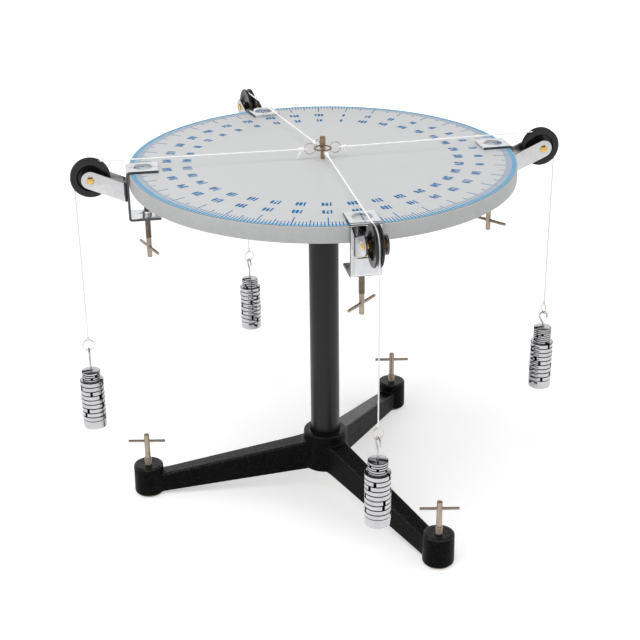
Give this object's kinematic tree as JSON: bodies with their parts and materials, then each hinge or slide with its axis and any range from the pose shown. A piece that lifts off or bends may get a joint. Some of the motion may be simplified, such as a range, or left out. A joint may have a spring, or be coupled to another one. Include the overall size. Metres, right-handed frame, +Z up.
{
  "type": "force table",
  "caption": "Round graduated table on a column and cast tripod, with clamp-on rim pulleys, strings, a centre ring and slotted weights on hangers, for balancing forces.",
  "frame": {"origin": "on the column's axis, at the bench under the three feet", "axes": "+Z up along the column; +X from the column towards the first pulley; pulleys are numbered the way +Z turns"},
  "size_m": [0.5347, 0.5321, 0.411],
  "materials": {
    "cast_base": "black baked paint with a faint grain",
    "black_paint": "satin black",
    "table_board": "grey paint on board",
    "dial_print": "printed sheet with blue graduations",
    "nickel": "dull nickel plate",
    "pin_metal": "warm turned metal",
    "ring_wire": "plated wire",
    "bracket_chrome": "bright plate",
    "fork_plate": "satin plate",
    "brass": "turned brass",
    "pulley_plastic": "moulded black",
    "string": "twisted white thread",
    "weight_chrome": "turned and plated"
  },
  "bodies": {
    "stand": {"tripod_base": "cast_base", "column": "black_paint", "column_bolt": "nickel", "top_flange": "black_paint", "flange_screws": "nickel", "table_top": "table_board", "dial_face": "dial_print"},
    "centre_pin": {"centre_pin": "pin_metal"},
    "centre_ring": {"centre_ring": "ring_wire"},
    "level_foot_1": {"level_foot_1": "nickel"},
    "level_screw_1": {"level_screw_1": "nickel"},
    "level_foot_2": {"level_foot_2": "nickel"},
    "level_screw_2": {"level_screw_2": "nickel"},
    "level_foot_3": {"level_foot_3": "nickel"},
    "level_screw_3": {"level_screw_3": "nickel"},
    "clamp_1": {"clamp_bracket_1": "bracket_chrome", "pulley_fork_1": "fork_plate", "fork_rivets_1": "brass", "axle_1": "brass", "string_1": "string", "string_rings_1": "ring_wire"},
    "pulley_1": {"pulley_wheel_1": "pulley_plastic"},
    "clamp_pad_1": {"pressure_pad_1": "nickel"},
    "clamp_screw_1": {"clamp_screw_1": "nickel"},
    "hanger_1": {"weight_hanger_1": "weight_chrome"},
    "weights_1": {"slotted_weights_1": "weight_chrome"},
    "clamp_2": {"clamp_bracket_2": "bracket_chrome", "pulley_fork_2": "fork_plate", "fork_rivets_2": "brass", "axle_2": "brass", "string_2": "string", "string_rings_2": "ring_wire"},
    "pulley_2": {"pulley_wheel_2": "pulley_plastic"},
    "clamp_pad_2": {"pressure_pad_2": "nickel"},
    "clamp_screw_2": {"clamp_screw_2": "nickel"},
    "hanger_2": {"weight_hanger_2": "weight_chrome"},
    "weights_2": {"slotted_weights_2": "weight_chrome"},
    "clamp_3": {"clamp_bracket_3": "bracket_chrome", "pulley_fork_3": "fork_plate", "fork_rivets_3": "brass", "axle_3": "brass", "string_3": "string", "string_rings_3": "ring_wire"},
    "pulley_3": {"pulley_wheel_3": "pulley_plastic"},
    "clamp_pad_3": {"pressure_pad_3": "nickel"},
    "clamp_screw_3": {"clamp_screw_3": "nickel"},
    "hanger_3": {"weight_hanger_3": "weight_chrome"},
    "weights_3": {"slotted_weights_3": "weight_chrome"},
    "clamp_4": {"clamp_bracket_4": "bracket_chrome", "pulley_fork_4": "fork_plate", "fork_rivets_4": "brass", "axle_4": "brass", "string_4": "string", "string_rings_4": "ring_wire"},
    "pulley_4": {"pulley_wheel_4": "pulley_plastic"},
    "clamp_pad_4": {"pressure_pad_4": "nickel"},
    "clamp_screw_4": {"clamp_screw_4": "nickel"},
    "hanger_4": {"weight_hanger_4": "weight_chrome"},
    "weights_4": {"slotted_weights_4": "weight_chrome"}
  },
  "joints": [
    {"name": "centre_pin_lift", "type": "slide", "parent": "stand", "child": "centre_pin", "axis": [0, 0, 1], "range_m": [0, 0.04]},
    {"name": "centre_ring_turn", "type": "hinge", "parent": "stand", "child": "centre_ring", "pos_m": [0, 0, 0.3982], "axis": [0, 0, 1], "continuous": true},
    {"name": "level_foot_travel_1", "type": "slide", "parent": "stand", "child": "level_foot_1", "axis": [0, 0, -1], "range_m": [0, 0.008]},
    {"name": "level_turn_1", "type": "hinge", "parent": "level_foot_1", "child": "level_screw_1", "pos_m": [0.12236, 0.15946, 0.036], "axis": [0, 0, -1], "range_deg": [0, 2309]},
    {"name": "level_foot_travel_2", "type": "slide", "parent": "stand", "child": "level_foot_2", "axis": [0, 0, -1], "range_m": [0, 0.008]},
    {"name": "level_turn_2", "type": "hinge", "parent": "level_foot_2", "child": "level_screw_2", "pos_m": [-0.19928, 0.02624, 0.036], "axis": [0, 0, -1], "range_deg": [0, 2309]},
    {"name": "level_foot_travel_3", "type": "slide", "parent": "stand", "child": "level_foot_3", "axis": [0, 0, -1], "range_m": [0, 0.008]},
    {"name": "level_turn_3", "type": "hinge", "parent": "level_foot_3", "child": "level_screw_3", "pos_m": [0.07692, -0.1857, 0.036], "axis": [0, 0, -1], "range_deg": [0, 2309]},
    {"name": "clamp_swing_1", "type": "hinge", "parent": "stand", "child": "clamp_1", "pos_m": [0, 0, 0.387], "axis": [0, 0, 1], "range_deg": [-30, 30]},
    {"name": "pulley_spin_1", "type": "hinge", "parent": "clamp_1", "child": "pulley_1", "pos_m": [0.2385, 0, 0.3818], "axis": [0, 1, 0], "continuous": true},
    {"name": "clamp_pad_travel_1", "type": "slide", "parent": "clamp_1", "child": "clamp_pad_1", "axis": [0, 0, -1], "range_m": [0, 0.008]},
    {"name": "clamp_screw_turn_1", "type": "hinge", "parent": "clamp_pad_1", "child": "clamp_screw_1", "pos_m": [0.1838, 0, 0.338], "axis": [0, 0, -1], "range_deg": [0, 2887]},
    {"name": "hanger_swing_1", "type": "hinge", "parent": "clamp_1", "child": "hanger_1", "pos_m": [0.2549, 0, 0.18345], "axis": [0, -1, 0], "range_deg": [-25, 25]},
    {"name": "weights_lift_1", "type": "slide", "parent": "hanger_1", "child": "weights_1", "axis": [0, 0, 1], "range_m": [0, 0.004]},
    {"name": "clamp_swing_2", "type": "hinge", "parent": "stand", "child": "clamp_2", "pos_m": [0, 0, 0.387], "axis": [0, 0, 1], "range_deg": [-30, 30]},
    {"name": "pulley_spin_2", "type": "hinge", "parent": "clamp_2", "child": "pulley_2", "pos_m": [-0.03628, 0.23572, 0.3818], "axis": [-0.9884, -0.1521, 0], "continuous": true},
    {"name": "clamp_pad_travel_2", "type": "slide", "parent": "clamp_2", "child": "clamp_pad_2", "axis": [0, 0, -1], "range_m": [0, 0.008]},
    {"name": "clamp_screw_turn_2", "type": "hinge", "parent": "clamp_pad_2", "child": "clamp_screw_2", "pos_m": [-0.02796, 0.18166, 0.338], "axis": [0, 0, -1], "range_deg": [0, 2887]},
    {"name": "hanger_swing_2", "type": "hinge", "parent": "clamp_2", "child": "hanger_2", "pos_m": [-0.03878, 0.25193, 0.17845], "axis": [-0.9625, -0.2714, 0], "range_deg": [-25, 25]},
    {"name": "weights_lift_2", "type": "slide", "parent": "hanger_2", "child": "weights_2", "axis": [0, 0, 1], "range_m": [0, 0.006]},
    {"name": "clamp_swing_3", "type": "hinge", "parent": "stand", "child": "clamp_3", "pos_m": [0, 0, 0.387], "axis": [0, 0, 1], "range_deg": [-30, 30]},
    {"name": "pulley_spin_3", "type": "hinge", "parent": "clamp_3", "child": "pulley_3", "pos_m": [-0.23805, 0.01456, 0.3818], "axis": [-0.061, -0.9981, 0], "continuous": true},
    {"name": "clamp_pad_travel_3", "type": "slide", "parent": "clamp_3", "child": "clamp_pad_3", "axis": [0, 0, -1], "range_m": [0, 0.008]},
    {"name": "clamp_screw_turn_3", "type": "hinge", "parent": "clamp_pad_3", "child": "clamp_screw_3", "pos_m": [-0.18346, 0.01122, 0.338], "axis": [0, 0, -1], "range_deg": [0, 2887]},
    {"name": "hanger_swing_3", "type": "hinge", "parent": "clamp_3", "child": "hanger_3", "pos_m": [-0.25443, 0.01556, 0.18945], "axis": [-1, -0.0087, 0], "range_deg": [-25, 25]},
    {"name": "weights_lift_3", "type": "slide", "parent": "hanger_3", "child": "weights_3", "axis": [0, 0, 1], "range_m": [0, 0.006]},
    {"name": "clamp_swing_4", "type": "hinge", "parent": "stand", "child": "clamp_4", "pos_m": [0, 0, 0.387], "axis": [0, 0, 1], "range_deg": [-30, 30]},
    {"name": "pulley_spin_4", "type": "hinge", "parent": "clamp_4", "child": "pulley_4", "pos_m": [-0.00728, -0.23839, 0.3818], "axis": [0.9995, -0.0305, 0], "continuous": true},
    {"name": "clamp_pad_travel_4", "type": "slide", "parent": "clamp_4", "child": "clamp_pad_4", "axis": [0, 0, -1], "range_m": [0, 0.008]},
    {"name": "clamp_screw_turn_4", "type": "hinge", "parent": "clamp_pad_4", "child": "clamp_screw_4", "pos_m": [-0.00561, -0.18371, 0.338], "axis": [0, 0, -1], "range_deg": [0, 2887]},
    {"name": "hanger_swing_4", "type": "hinge", "parent": "clamp_4", "child": "hanger_4", "pos_m": [-0.00778, -0.25478, 0.19545], "axis": [-0.9772, -0.2122, 0], "range_deg": [-25, 25]},
    {"name": "weights_lift_4", "type": "slide", "parent": "hanger_4", "child": "weights_4", "axis": [0, 0, 1], "range_m": [0, 0.006]}
  ],
  "couplings": [
    {"joint": "level_turn_1", "follows": "level_foot_travel_1", "rad_per_m": 5026.5},
    {"joint": "level_turn_2", "follows": "level_foot_travel_2", "rad_per_m": 5026.5},
    {"joint": "level_turn_3", "follows": "level_foot_travel_3", "rad_per_m": 5026.5},
    {"joint": "clamp_screw_turn_1", "follows": "clamp_pad_travel_1", "rad_per_m": 6283.2},
    {"joint": "clamp_screw_turn_2", "follows": "clamp_pad_travel_2", "rad_per_m": 6283.2},
    {"joint": "clamp_screw_turn_3", "follows": "clamp_pad_travel_3", "rad_per_m": 6283.2},
    {"joint": "clamp_screw_turn_4", "follows": "clamp_pad_travel_4", "rad_per_m": 6283.2}
  ]
}
